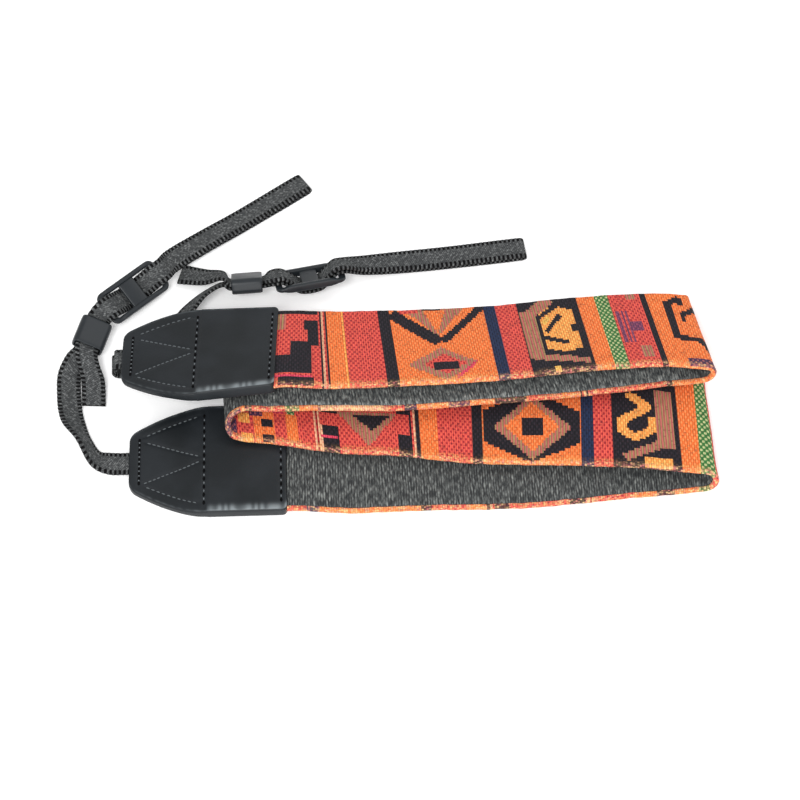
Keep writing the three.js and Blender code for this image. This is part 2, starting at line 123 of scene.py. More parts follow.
def unit(vectors):
    return vectors / np.linalg.norm(vectors, axis=-1, keepdims=True)


def headingOf(turn):
    angle = np.radians(turn)
    return np.array([np.cos(angle), np.sin(angle), 0.0])


# The direction across a strap, from its near rail to its far rail.
def acrossOf(turn, lean):
    angle, tilt = np.radians(turn), np.radians(lean)
    return np.array([-np.sin(angle) * np.cos(tilt), np.cos(angle) * np.cos(tilt), -np.sin(tilt)])


def placeOf(along, depth, height):
    return np.array([along * strap["foldSpan"], depth * strap["width"], height])


def railsAbout(middle, across, width=strap["webbingWidth"]):
    return np.array([middle - across * width / 2, middle + across * width / 2])


def levelRails(row):
    along, depth, lift, turn, lean = row
    across = acrossOf(turn, lean) * strap["width"]
    near = placeOf(along, depth, lift * bandThick - across[2])
    return np.array([near, near + across])


def rowRails(row):
    along, depth, rise, turn, lean = row
    middle = placeOf(along, depth, rise * strap["webbingWidth"])
    return railsAbout(middle, acrossOf(turn, lean))


# Half a turn about the end of a fold: middle + heading * half * sin + half * cos, for each rail.
def foldRails(first, last, heading):
    middle, half = (first + last) / 2, (first - last) / 2
    reach = np.linalg.norm(half, axis=1, keepdims=True) * heading
    angles = np.pi * np.array([0.25, 0.5, 0.75])
    return [middle + reach * np.sin(angle) + half * np.cos(angle) for angle in angles]


# The axes of a leather end at these distances from its mouth: its middle, across and normal.
def tabAxes(pose, run):
    run = np.atleast_1d(np.asarray(run, float))
    mouth = placeOf(pose["along"], pose["depth"], pose["rise"] * tabThick)
    forward = headingOf(pose["turn"])
    forward[2] = np.tan(np.radians(pose["climb"]))
    forward = unit(forward)
    lean = pose["lean"] + (pose["tipLean"] - pose["lean"]) * -run / strap["tabLength"]
    across = acrossOf(pose["turn"] + 0 * lean, lean).T
    across = unit(across - (across @ forward)[:, None] * forward)
    return mouth + run[:, None] * forward, across, np.cross(forward, across)


def tabRails(pose, runs, above, width):
    middle, across, normal = tabAxes(pose, runs)
    middle = middle + normal * above
    return [railsAbout(m, a, width) for m, a in zip(middle, across)]


# Where points of a keeper or buckle lie, given as distances along, across and above its middle.
def inPose(row, points):
    along, depth, rise, turn, lean = row
    heading, across = headingOf(turn), acrossOf(turn, lean)
    axes = np.array([heading, across, np.cross(heading, across)])
    return placeOf(along, depth, rise * strap["webbingWidth"]) + points @ axes


def fittingRails(row, places):
    middles = inPose(row, np.array([(run, 0, above) for run, above in places]))
    return [railsAbout(middle, acrossOf(*row[3:])) for middle in middles]


def bandRails():
    reach = strap["tabLength"] - strap["tabTaper"] - strap["gap"]
    runs = np.array([-reach, -reach / 2, -strap["lip"], 4 * strap["lip"]])
    rails = tabRails(tabPoses["a"], runs, 0, strap["width"])
    for index, level in enumerate(levels):
        rows = [levelRails(row) for row in level]
        if index > 0:
            side = -1 if index == 2 else 1
            rails += foldRails(rails[-1], rows[0], side * headingOf(levels[index - 1][-1][3]))
        rails += rows
    return np.array(rails + tabRails(tabPoses["b"], runs, 0, strap["width"])[::-1])


# Centripetal Catmull-Rom line through the knots; share runs evenly from knot to knot.
def lineAt(knots, share):
    ends = np.vstack([2 * knots[0] - knots[1], knots, 2 * knots[-1] - knots[-2]])
    place = np.clip(share, 0, 1) * (len(knots) - 1)
    index = np.minimum(place.astype(int), len(knots) - 2)
    part = (place - index)[:, None]
    a, b, c, d = (ends[index + step] for step in range(4))
    ab, bc, cd = (np.sqrt(np.linalg.norm(q - p, axis=1))[:, None] for p, q in ((a, b), (b, c), (c, d)))
    leave = ((b - a) / ab - (c - a) / (ab + bc) + (c - b) / bc) * bc
    arrive = ((c - b) / bc - (d - b) / (bc + cd) + (d - c) / cd) * bc
    return (b + part * leave + part**2 * (3 * (c - b) - 2 * leave - arrive)
            + part**3 * (2 * (b - c) + leave + arrive))


def railAxes(rails, share):
    near, far = lineAt(rails[:, 0], share), lineAt(rails[:, 1], share)
    step = 1e-4
    forward = sum(unit(lineAt(rail, share + step) - lineAt(rail, share - step))
                  for rail in rails.swapaxes(0, 1))
    across = unit(far - near)
    return (near + far) / 2, across, unit(np.cross(forward, across))


# Shares at even distances of about pitch along the middle of the rails, and those distances.
def evenShares(rails, pitch, tries=6000):
    fine = np.linspace(0, 1, tries)
    middle = (lineAt(rails[:, 0], fine) + lineAt(rails[:, 1], fine)) / 2
    run = np.concatenate([[0], np.cumsum(np.linalg.norm(np.diff(middle, axis=0), axis=1))])
    even = np.linspace(0, run[-1], int(run[-1] / pitch) + 1)
    return np.interp(even, run, fine), even


# Rings of a section: middle + across * sideways + normal * outward, the section being (ring, point, 2).
def ringsOf(axes, section):
    middle, across, normal = (axis[:, None] for axis in axes)
    return middle + across * section[..., :1] + normal * section[..., 1:]


bandLine = bandRails()
# The solids are shifted so that the origin is the middle of what the strap rests on.
reach = strap["width"] / 2 - strap["hem"] - strap["gap"]
backLow, backHigh = -bandThick / 2, -bandThick / 2 + strap["clothWall"]
solidStations = np.linspace(0, 1, (len(bandLine) - 1) * 3 + 1)
solidSection = np.array([[[-reach, backLow], [reach, backLow], [reach, backHigh], [-reach, backHigh]]])
solidRings = ringsOf(railAxes(bandLine, solidStations), solidSection)
shift = np.array(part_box("backing")[0]) - solidRings.reshape(-1, 3).min(axis=0)
print("shift of the solids, mm:", (shift * 1000).round(3))


def inScene(name, data):
    made = bpy.data.objects.new(name, data)
    bpy.context.scene.collection.objects.link(made)
    return made


def pieceOf(name, grid, replaced=(), wearAndHighlight=None):
    vertices, faces, uv = grid
    mesh = bpy.data.meshes.new(name)
    mesh.from_pydata(vertices.tolist(), [], faces)
    # Per point: where a leather end is painted paler, a painted highlight and partly rubbed wear.
    if wearAndHighlight is not None:
        layer = mesh.attributes.new("wearAndHighlight", "FLOAT", "POINT")
        layer.data.foreach_set("value", wearAndHighlight.astype(np.float32).ravel())
    if uv is not None:
        layer = mesh.uv_layers.new(name="weave")
        layer.data.foreach_set("uv", uv.astype(np.float32).ravel())
    mesh.polygons.foreach_set("use_smooth", np.ones(len(mesh.polygons), bool))
    mesh.update()
    piece = inScene(name, mesh)
    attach(piece, "root")
    if replaced:
        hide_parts(*replaced)
    return piece


# Quads between rings of points, joined round each ring, and from the last ring to the first when looped,
# else closed by a face at each end. uv gives each point's place, with one column more than the ring has.
def gridOf(rings, uv=None, looped=False):
    count, size = rings.shape[:2]
    vertices = rings.reshape(-1, 3) + shift
    row = np.arange(count if looped else count - 1)[:, None]
    column = np.arange(size)[None, :]
    nextRow, nextColumn = (row + 1) % count, (column + 1) % size
    quads = np.stack(np.broadcast_arrays(
        row * size + column, row * size + nextColumn, nextRow * size + nextColumn, nextRow * size + column,
    ), axis=-1).reshape(-1, 4)
    corners = vertices[quads]
    outward = np.cross(corners[:, 2] - corners[:, 0], corners[:, 3] - corners[:, 1])
    turned = (corners.mean(axis=1) * outward).sum() < 0
    if turned:
        quads = quads[:, ::-1]
    faces = quads.tolist()
    if not looped:
        start, end = np.arange(size), (count - 1) * size + np.arange(size)
        faces += [(start if turned else start[::-1]).tolist(), (end[::-1] if turned else end).tolist()]
    places = None
    if uv is not None:
        pick = [(0, 0), (0, 1), (1, 1), (1, 0)]
        places = np.stack([uv[a:count - 1 + a, b:size + b] for a, b in pick], axis=2).reshape(-1, 4, 2)
        if turned:
            places = places[:, ::-1]
        places = np.concatenate([places.reshape(-1, 2), np.zeros((2 * size, 2))])
    return vertices, faces, places


# Grids put together as one, without a UV map.
def joined(grids):
    vertices, faces, count = [], [], 0
    for points, quads, _ in grids:
        faces += [[corner + count for corner in quad] for quad in quads]
        vertices.append(points)
        count += len(points)
    return np.concatenate(vertices), faces, None


# A section carried along its rails, with the distances along and across it as its UV map.
def carried(rails, shares, sections, run, across):
    rings = ringsOf(railAxes(rails, shares), sections)
    return gridOf(rings, gridPlaces(run[:, None], across[None]))


# Points round rectangles with round corners, from the middle of the low side: (ring, point, 2), the columns
# being sideways and outward. Each size is one number or one for each ring.
def roundedRing(half, low, high, corner, sideCount=24, cornerCount=5):
    sizes = (half, low, high, corner)
    half, low, high, corner = (np.reshape(np.asarray(size, float), (-1, 1)) for size in sizes)
    bend = np.linspace(0, np.pi / 2, cornerCount)[None]
    spread = np.linspace(-1, 1, sideCount)[None, 1:-1]
    rise, fall = corner * np.sin(bend), corner * np.cos(bend)
    flat = half - corner
    lower, upper = low + corner, high - corner
    sides = [
        (spread * flat, low), (flat + rise, lower - fall), (flat + fall, upper + rise),
        (-spread * flat, high), (-flat - rise, upper + fall), (-flat - fall, lower - rise),
    ]
    return np.concatenate([gridPlaces(*side) for side in sides], axis=1)


# A sideways and an outward part, or along and across, as one array of pairs: (ring, point, 2).
def gridPlaces(first, second):
    return np.stack(np.broadcast_arrays(first, second), axis=2)


# From 0 at start to 1 at end, level at both: part * part * (3 - 2 * part).
def eased(value, start, end):
    part = np.clip((value - start) / (end - start), 0, 1)
    return part * part * (3 - 2 * part)


# Slow unevenness of cloth, from -1 to 1: a few crossed waves of unlike lengths.
def ripple(along, across, wave):
    along, across = along / wave, across / wave
    return (np.sin(along + 3.1 * np.sin(across * 0.7)) + np.sin(along * 0.53 + across + 1.7)
            + np.sin(along * 1.9 - across * 1.3 + 0.6)) / 3


# The woven band: a sheet with its hems turned round both edges. The section runs round a C: under the far
# hem, round the far edge, over the face, round the near edge, under the near hem and back inside.
bandPiece = {
    "pitch": 0.0013, "faceColumns": 30, "hem": 0.0018, "rippleHigh": 0.00014, "rippleLong": 0.006,
    "edgeRoll": 0.00025, "rollWide": 0.0025, "wobble": 0.0002, "wobbleLong": 0.0021,
    "heldBy": 0.036, "looseAfter": 0.010,
}


# How freely the cloth waves, from 0 where a leather end holds it to 1 beyond.
def looseness(run):
    return np.clip((np.minimum(run, run[-1] - run) - bandPiece["heldBy"]) / bandPiece["looseAfter"], 0, 1)


def bandSection():
    half, top = strap["width"] / 2, bandThick / 2
    inner, hem, fold = top - strap["clothWall"], half - bandPiece["hem"], half - strap["clothWall"]
    bend = np.linspace(-np.pi / 2, np.pi / 2, 9)
    edge = np.stack([half - top + top * np.cos(bend), top * np.sin(bend)], axis=1)
    under = np.stack([np.linspace(hem, half - top, 4)[:-1], np.full(3, -top)], axis=1)
    face = np.linspace(half - top, top - half, bandPiece["faceColumns"])[1:-1]
    face = np.stack([face, np.full(len(face), top)], axis=1)
    mirror = np.array([-1, 1])
    inside = np.array([
        [-hem, -inner], [-fold, -inner], [-fold, inner], [0, inner], [fold, inner], [fold, -inner],
        [hem, -inner],
    ])
    outside = [under, edge, face, (edge * mirror)[::-1], (under * mirror)[::-1]]
    return np.concatenate(outside + [inside]), sum(len(part) for part in outside)


def makeBand():
    shares, run = evenShares(bandLine, bandPiece["pitch"])
    section, outsideCount = bandSection()
    half, top = strap["width"] / 2, bandThick / 2
    step = np.linalg.norm(np.diff(np.vstack([section, section[:1]]), axis=0), axis=1)
    girth = np.concatenate([[0], np.cumsum(step)])
    clothWidth = girth[outsideCount - 1]
    across = half + clothWidth / 2 - girth
    onFace = section[:, 1] > 0.9 * top
    out, side = run[:, None], section[None, :, 0]
    loose = looseness(out)
    wave = ripple(out, side, bandPiece["rippleLong"]) * bandPiece["rippleHigh"] * loose
    roll = bandPiece["edgeRoll"] * np.exp(-((half - np.abs(side)) / bandPiece["rollWide"]) ** 2) * loose
    wobble = ripple(out, 0, bandPiece["wobbleLong"]) * bandPiece["wobble"] * loose
    sections = np.repeat(section[None], len(shares), axis=0)
    sections[..., 1] += onFace * (wave + roll)
    sections[..., 0] += wobble * np.sign(side)
    grid = carried(bandLine, shares, sections, run, across)
    band = pieceOf("woven_band", grid, ["woven_face"])
    return band


# The backing bulges a little between the hems, and waves.
backingPiece = {
    "pitch": 0.0016, "columns": 26, "corner": 0.0002, "bulge": 0.00025, "rippleHigh": 0.00012,
    "rippleLong": 0.0045,
}


def makeBacking():
    shares, run = evenShares(bandLine, backingPiece["pitch"])
    half = strap["width"] / 2 - bandPiece["hem"] - strap["gap"] / 3
    sections = roundedRing(half, backLow, backHigh, backingPiece["corner"], backingPiece["columns"], 2)
    out, side = run[:, None], sections[..., 0]
    sections = np.repeat(sections, len(shares), axis=0)
    wave = ripple(out, side, backingPiece["rippleLong"]) * backingPiece["rippleHigh"]
    bulge = np.cos(side / half * np.pi / 2) * backingPiece["bulge"] + wave
    under = sections[..., 1] < (backLow + backHigh) / 2
    sections[..., 1] -= np.where(under, bulge * looseness(out), 0)
    grid = carried(bandLine, shares, sections, run, np.append(side[0], side[0, 0]) + half)
    piece = pieceOf("backing_cloth", grid, ["backing"])
    return piece


# The leather ends: rings from the bottom of the webbing slot out to the tip, over the body to the mouth, and
# back in to the bottom of the pocket that holds the band.
tabPiece = {
    "bow": 1.6, "tipCorner": 0.003, "mouthCorner": 0.002, "swellFrom": 0.020, "swellTo": 0.033,
    "edge": 0.0007, "seam": 0.0308, "seamStep": 0.0003, "stepPast": 0.001, "stepLong": 0.0004,
    "stitchDip": 0.00028, "stitchWide": 0.0007, "pitch": 0.0007, "wrapLong": 0.002, "rollHigh": 0.00035,
    "rollIn": 0.0014, "rollWide": 0.0015,
    "creaseLong": 0.00062, "creaseDrift": 0.0021, "grainHigh": 0.00008, "grainLong": 0.005,
    "rimIn": 0.0006, "rimWide": 0.0005, "rimLong": 0.0012, "holeCorner": 0.0003, "columns": 64,
}


def cornerCut(distance, radius):
    inside = np.minimum(distance, radius)
    return radius - np.sqrt(radius**2 - (radius - inside) ** 2)


# Half of the width at each distance from the tip: the taper bows out to the full width at the shoulder.
def tabHalf(distance):
    tip, full = strap["tabTip"] / 2, tabWidth / 2
    opening = np.minimum(distance / strap["tabTaper"], 1)
    half = tip + (full - tip) * (1 - (1 - opening) ** tabPiece["bow"])
    return (half - cornerCut(distance, tabPiece["tipCorner"])
            - cornerCut(strap["tabLength"] - distance, tabPiece["mouthCorner"]))


# Heights of both faces of a leather end at each distance from its tip: it swells where the band goes in, and
# the wrap round the band stands a step above the tapered piece.
def tabFaces(distance):
    thick = tipThick + (tabThick - tipThick) * eased(distance, tabPiece["swellFrom"], tabPiece["swellTo"])
    stepEnd = tabPiece["seam"] + tabPiece["stepPast"] + tabPiece["stepLong"]
    step = tabPiece["seamStep"] * np.clip((stepEnd - distance) / tabPiece["stepLong"], 0, 1)
    return tabThick / 2 - thick + step, tabThick / 2 - step


# Stitch lines: thread, whether it bows with the edge, then both ends as distance from the tip and share of
# the half width.
tabSeams = [
    ("dark", False, (0.0308, -0.96), (0.0308, 0.96)), ("dark", False, (0.0622, -0.95), (0.0622, 0.95)),
    ("dark", False, (0.0042, -0.8), (0.0042, 0.8)),
    ("light", True, (0.0058, 0.7), (0.0292, 0.82)), ("light", True, (0.0058, -0.7), (0.0292, -0.82)),
    ("light", False, (0.0062, 0.56), (0.0296, 0.05)), ("light", False, (0.0052, -0.68), (0.0298, -0.02)),
]


def seamPoints(line, pitch):
    _, bowed, (start, startShare), (end, endShare) = line
    long = np.hypot(end - start, (endShare - startShare) * tabWidth / 2)
    part = np.linspace(0, 1, max(int(long / pitch), 2))
    distance = start + (end - start) * part
    sides = np.array([startShare * tabHalf(start), endShare * tabHalf(end)])
    side = sides[0] + (sides[1] - sides[0]) * part
    if bowed:
        side = (startShare + (endShare - startShare) * part) * tabHalf(distance)
    return np.stack([distance, side], axis=1)


# Distances of a leather end's rings from its tip, close together where both of its ends round over.
def tabStations():
    length = strap["tabLength"]
    inner = np.linspace(0.0028, length - 0.003, int(length / tabPiece["pitch"]))
    near = np.array([0, 0.0001, 0.0004, 0.0008, 0.0013, 0.002])
    return np.concatenate([near, inner, length - near[::-1]])


# What lifts a face of a leather end: the rolled and creased edge of the wrap, minus a Gaussian dip about each
# stitch line, plus a slow ripple. And where it is paler: a painted highlight, partly rubbed wear, on that
# edge and just inside every edge.
def tabRelief(out, side):
    points = np.concatenate([seamPoints(line, tabPiece["pitch"]) for line in tabSeams])
    flat = gridPlaces(out, side)
    nearest = np.sqrt(((flat[:, :, None] - points[None, None]) ** 2).sum(axis=3)).min(axis=2)
    dip = tabPiece["stitchDip"] * np.exp(-((nearest / tabPiece["stitchWide"]) ** 2))
    inside = tabHalf(out) - np.abs(side)
    wrap = np.clip((out - tabPiece["seam"] - tabPiece["stepPast"]) / tabPiece["wrapLong"], 0, 1) * (side < 0)
    crease = 0.65 + 0.35 * np.sin(out / tabPiece["creaseLong"] + 2.5 * np.sin(out / tabPiece["creaseDrift"]))
    roll = wrap * np.exp(-(((inside - tabPiece["rollIn"]) / tabPiece["rollWide"]) ** 2))
    grain = tabPiece["grainHigh"] * ripple(out, side, tabPiece["grainLong"])
    rim = np.exp(-((inside - tabPiece["rimIn"]) / tabPiece["rimWide"]) ** 2)
    rim = rim * (0.5 + 0.5 * ripple(out, side, tabPiece["rimLong"]))
    # Painted highlight, partly rubbed wear: paler along the rolled edge of the wrap and just inside every
    # edge.
    wearAndHighlight = np.clip(1.1 * roll * crease + 0.45 * rim, 0, 1)
    return tabPiece["rollHigh"] * roll * crease - dip + grain, wearAndHighlight


# Rings of a hole in a leather end at these distances from its mouth, with the gap all round what goes in.
def holeRings(pose, runs, half, high, middle=0):
    half, high = half + strap["gap"], high + strap["gap"]
    ring = roundedRing(half, -high, high, tabPiece["holeCorner"], tabPiece["columns"])
    return ringsOf(tabAxes(pose, np.array(runs)), (ring + (0, middle)) * (1, pose["face"]))


def makeTab(key):
    pose, length, taper = tabPoses[key], strap["tabLength"], strap["tabTaper"]
    distance, edge = tabStations(), tabPiece["edge"]
    low, high = tabFaces(distance)
    ends = np.maximum(edge - np.minimum(distance, length - distance), 0)
    bevel = edge - np.sqrt(edge**2 - ends**2)
    section = roundedRing(tabHalf(distance), low + bevel, high - bevel, edge * 0.98, tabPiece["columns"])
    onTop = section[..., 1] > (high - bevel)[:, None] - 1e-6
    onLow = section[..., 1] < (low + bevel)[:, None] + 1e-6
    lift, wearAndHighlight = tabRelief(distance[:, None], section[..., 0])
    wearAndHighlight = np.where(onTop | onLow, wearAndHighlight, 0)
    section[..., 1] += np.where(onTop, lift, 0) - np.where(onLow, lift, 0)
    section[..., 1] *= pose["face"]
    slotMiddle = (tabThick - tipThick) / 2
    slotRuns = [taper - 5 * strap["lip"] - length, taper / 2 - length, strap["lip"] - length]
    pocketRuns = [-strap["lip"], -(length - taper) / 2, taper - length]
    rings = np.concatenate([
        holeRings(pose, slotRuns, strap["webbingWidth"] / 2, strap["webbingThick"] / 2, slotMiddle),
        ringsOf(tabAxes(pose, distance - length), section),
        holeRings(pose, pocketRuns, strap["width"] / 2, bandThick / 2),
    ])
    unmarked = np.zeros((3, wearAndHighlight.shape[1]))
    wearAndHighlight = np.concatenate([unmarked, wearAndHighlight, unmarked])
    return pieceOf(f"leather_end_{key}", gridOf(rings), [f"leather_tab_{key}"], wearAndHighlight)


# Webbing: flat woven tape with a beaded edge. Two strands lie on each other beyond the keeper.
webbingPiece = {"pitch": 0.0005, "bead": 0.0019, "beadOut": 0.00022, "beadIn": 0.0012, "corner": 0.00045}


def strandRails(pair, side):
    before = pair[np.maximum(np.arange(len(pair)) - 1, 0)]
    after = pair[np.minimum(np.arange(len(pair)) + 1, len(pair) - 1)]
    forward = (after - before).sum(axis=1)
    apart = unit(np.cross(forward, pair[:, 1] - pair[:, 0])) * side * strandStep / 2
    return pair + apart[:, None]


def webbingRails(key):
    pose, fitting, rows = tabPoses[key], fittings[key], webbings[key]
    length, taper, lip, gap, way = (
        strap["tabLength"], strap["tabTaper"], strap["lip"], strap["gap"], fitting["way"])
    slotRun = -length + 0.6 * (taper - 5 * lip)
    above = pose["face"] * (tabThick - tipThick) / 2
    rails = tabRails(pose, np.array([slotRun, (slotRun - length) / 2, -length, -length - 3 * lip]), above,
                     strap["webbingWidth"])
    rails += [rowRails(row) for row in rows["start"]]
    half = strap["keeperLength"] / 2
    through = [(run * way, 0) for run in (-half - lip, -half / 3, half / 3, half + lip)]
    bar, slot = buckle["middleBar"], buckle["slot"]
    endBar, slotMiddle = (strap["buckleLength"] + bar + 2 * slot) / 4, (bar + slot) / 2
    barEdge = bar / 2 + gap
    slotEdge = barEdge + slot - 2 * gap
    over = strap["buckleBar"] / 2 + 1.2 * gap + strandStep
    weave = [(-endBar - 2 * lip, over), (-slotEdge, over), (-slotMiddle, 0), (-barEdge, -over),
             (barEdge, -over), (slotMiddle, 0), (slotEdge, over), (endBar + 2 * lip, over)]
    pair = np.array(
        fittingRails(fitting["keeper"], through)
        + fittingRails(fitting["buckle"], [(run * way, above) for run, above in weave])
        + [rowRails(row) for row in rows["far"]]
    )
    lower, upper = strandRails(pair, -way), strandRails(pair, way)
    loop = foldRails(lower[-1], upper[-1], way * headingOf(rows["far"][-1][3]))
    return np.array(rails + list(lower) + loop + list(upper[::-1]) + [rowRails(row) for row in rows["tail"]])


def makeWebbing(key):
    rails = webbingRails(key)
    shares, run = evenShares(rails, webbingPiece["pitch"])
    half, high = strap["webbingWidth"] / 2, strap["webbingThick"] / 2
    section = roundedRing(half, -high, high, webbingPiece["corner"], 12, 4)
    section = np.repeat(section, len(shares), axis=0)
    bead = np.abs(np.sin(run / webbingPiece["bead"] * np.pi))[:, None]
    edge = np.clip((np.abs(section[..., 0]) - half + webbingPiece["beadIn"]) / webbingPiece["beadIn"], 0, 1)
    section[..., 0] += np.sign(section[..., 0]) * edge * (bead - 0.7) * webbingPiece["beadOut"]
    side = np.append(section[0, :, 0], section[0, 0, 0]) + half
    grid = carried(rails, shares, section, run, side)
    return pieceOf(f"webbing_tape_{key}", grid, [f"webbing_{key}"])


# The sliding buckle: a frame with tall side rails and low end bars, and a broad bar across its middle.
buckle = {
    "slot": 0.28 * strap["buckleLength"], "middleBar": 0.247 * strap["buckleLength"],
    "railWide": 0.0022, "railHigh": 2 * strap["buckleBar"], "corner": 0.003, "soft": 0.00045,
    "insideCorner": 0.0008, "railRise": 0.0025, "crown": 0.00025, "barIn": 0.0006, "barColumns": 16,
}


# The wall of a frame: a soft square between the inner ring and the outer, carried round. A point of it lies
# at inner + (outer - inner) * out, where out runs from 0 to 1 and up, its height, from -1 to 1.
def softWall(inner, outer, count, power):
    bend = np.linspace(0, 2 * np.pi, count, endpoint=False)
    wide, up = (np.sign(wave) * np.abs(wave) ** power for wave in (np.cos(bend), np.sin(bend)))
    out = (wide + 1) / 2
    return inner[:, None] + (outer - inner)[:, None] * out[None, :, None], up


def makeBuckle(key):
    row = fittings[key]["buckle"]
    length, bar = strap["buckleLength"], strap["buckleBar"]
    inside = strap["webbingWidth"] + 3 * strap["gap"]
    wide = inside + 2 * buckle["railWide"]
    slotEnd = buckle["middleBar"] / 2 + buckle["slot"]
    outer = roundedRing(length / 2, -wide / 2, wide / 2, buckle["corner"], 14, 7)[0]
    inner = roundedRing(slotEnd, -inside / 2, inside / 2, buckle["insideCorner"], 14, 7)[0]
    rail = eased(slotEnd - strap["lip"] - np.abs(inner[:, 0]), 0, buckle["railRise"])
    high = (bar + (buckle["railHigh"] - bar) * rail) / 2
    flat, up = softWall(inner, outer, 24, 0.45)
    points = np.concatenate([flat, (high[:, None] * up[None])[..., None]], axis=2)
    reach, columns = inside / 2 + buckle["barIn"], buckle["barColumns"]
    across = np.linspace(-reach, reach, columns)
    barRing = roundedRing(np.full(columns, buckle["middleBar"] / 2), -bar / 2, bar / 2, buckle["soft"], 12, 4)
    crown = buckle["crown"] * (np.cos(barRing[..., 0] / buckle["middleBar"] * np.pi) - 0.4)
    barRing[..., 1] += np.sign(barRing[..., 1]) * crown
    flatBar = np.stack(np.broadcast_arrays(barRing[..., 0], across[:, None], barRing[..., 1]), axis=2)
    grid = joined([gridOf(inPose(row, points), looped=True), gridOf(inPose(row, flatBar))])
    return pieceOf(f"sliding_buckle_{key}", grid, [f"buckle_{key}"])


# The keeper: a flat sleeve whose wall is a rounded section carried round both strands.
keeper = {"wall": 0.0013, "outsideCorner": 0.0023, "insideCorner": 0.0006}


def makeKeeper(key):
    row = fittings[key]["keeper"]
    half = strap["webbingWidth"] / 2 + 1.5 * strap["gap"]
    high = strap["webbingThick"] + 3 * strap["gap"]
    wall = keeper["wall"]
    outer = roundedRing(half + wall, -high - wall, high + wall, keeper["outsideCorner"], 14, 7)[0]
    inner = roundedRing(half, -high, high, keeper["insideCorner"], 14, 7)[0]
    flat, up = softWall(inner, outer, 28, 0.4)
    run = np.broadcast_to(up * strap["keeperLength"] / 2, flat.shape[:2])
    points = np.stack([run, flat[..., 0], flat[..., 1]], axis=2)
    grid = gridOf(inPose(row, points), looped=True)
    return pieceOf(f"keeper_sleeve_{key}", grid, [f"keeper_{key}"])


# Node helpers: numbers and sockets go in, the new node's output comes out.
def node(tree, kind, inputs=(), output=0, **settings):
    made = tree.nodes.new(kind)
    for name, value in settings.items():
        setattr(made, name, value)
    for place, value in (inputs.items() if isinstance(inputs, dict) else enumerate(inputs)):
        if isinstance(value, bpy.types.NodeSocket):
            tree.links.new(value, made.inputs[place])
        elif value is not None:
            made.inputs[place].default_value = value
    return made.outputs[output]


def maths(tree, operation, *values):
    return node(tree, "ShaderNodeMath", values, operation=operation)


def times(tree, first, second):
    return maths(tree, "MULTIPLY", first, second)


def scaled(tree, value, factor, offset):
    return maths(tree, "MULTIPLY_ADD", value, factor, offset)


def opposite(tree, value):
    return maths(tree, "SUBTRACT", 1.0, value)


def halfWaves(tree, value):
    return maths(tree, "ABSOLUTE", maths(tree, "SINE", times(tree, value, np.pi)))


def smooth(tree, value, start, end):
    inputs = {0: value, 1: start, 2: end, 3: 0.0, 4: 1.0}
    return node(tree, "ShaderNodeMapRange", inputs, interpolation_type="SMOOTHSTEP")


def mixed(tree, mask, first, second, how="MIX"):
    inputs = {0: mask, 6: first, 7: second}
    return node(tree, "ShaderNodeMix", inputs, 2, data_type="RGBA", blend_type=how)


def darkened(tree, colour, share):
    grey = node(tree, "ShaderNodeCombineXYZ", (share, share, share))
    return mixed(tree, 1.0, colour, grey, "MULTIPLY")


def noise(tree, vector, scale, detail=2.0):
    return node(tree, "ShaderNodeTexNoise", {"Vector": vector, "Scale": scale, "Detail": detail})


def streaks(tree, place, stretch, detail=2.0):
    stretched = node(tree, "ShaderNodeVectorMath", (place, stretch), operation="MULTIPLY")
    return noise(tree, stretched, 1.0, detail)


def objectPlace(tree):
    return node(tree, "ShaderNodeTexCoord", output=3)


# A colour seen on a screen, 0 to 255, as light.
def shade(red, green, blue):
    seen = np.array([red, green, blue]) / 255
    return (*np.where(seen < 0.04045, seen / 12.92, ((seen + 0.055) / 1.055) ** 2.4).tolist(), 1.0)


def finish(name, roughness, specular=0.5, sheen=0.0):
    material = bpy.data.materials.new(name)
    material.use_nodes = True
    surface = material.node_tree.nodes["Principled BSDF"]
    surface.inputs["Roughness"].default_value = roughness
    surface.inputs["Specular IOR Level"].default_value = specular
    surface.inputs["Sheen Weight"].default_value = sheen
    return material, material.node_tree, surface


# The colour of a finish and the bump that goes with it.
def cover(tree, surface, colour, height, depth, strength=1.0):
    tree.links.new(colour, surface.inputs["Base Color"])
    normal = node(tree, "ShaderNodeBump", {"Height": height, "Distance": depth, "Strength": strength})
    tree.links.new(normal, surface.inputs["Normal"])


# Shared effect: threads that cross, from a place on the cloth in mm. Height for bump, tone from 0 to 1.
def makeThreadGroup():
    group = bpy.data.node_groups.new("crossedThreads", "ShaderNodeTree")
    for names, way in ((("Along", "Across", "Rib", "Pick"), "INPUT"), (("Height", "Tone"), "OUTPUT")):
        for name in names:
            group.interface.new_socket(name=name, in_out=way, socket_type="NodeSocketFloat")
    enter, leave = group.nodes.new("NodeGroupInput"), group.nodes.new("NodeGroupOutput")
    along, across, rib, pick = enter.outputs[:4]
    ribPlace = maths(group, "DIVIDE", along, rib)
    odd = times(group, maths(group, "FLOORED_MODULO", maths(group, "FLOOR", ribPlace), 2.0), 0.5)
    pickPlace = maths(group, "ADD", maths(group, "DIVIDE", across, pick), odd)
    height = times(group, halfWaves(group, ribPlace), scaled(group, halfWaves(group, pickPlace), 0.5, 0.5))
    crossing = [maths(group, "FLOOR", place) for place in (ribPlace, pickPlace)]
    cell = node(group, "ShaderNodeCombineXYZ", crossing)
    tone = node(group, "ShaderNodeTexWhiteNoise", (cell,), noise_dimensions="2D")
    group.links.new(height, leave.inputs["Height"])
    group.links.new(tone, leave.inputs["Tone"])
    return group


def threads(tree, group, along, across, rib, pick):
    made = tree.nodes.new("ShaderNodeGroup")
    made.node_tree = group
    for name, value in (("Along", along), ("Across", across)):
        tree.links.new(value, made.inputs[name])
    made.inputs["Rib"].default_value = rib
    made.inputs["Pick"].default_value = pick
    return made.outputs["Height"], made.outputs["Tone"]


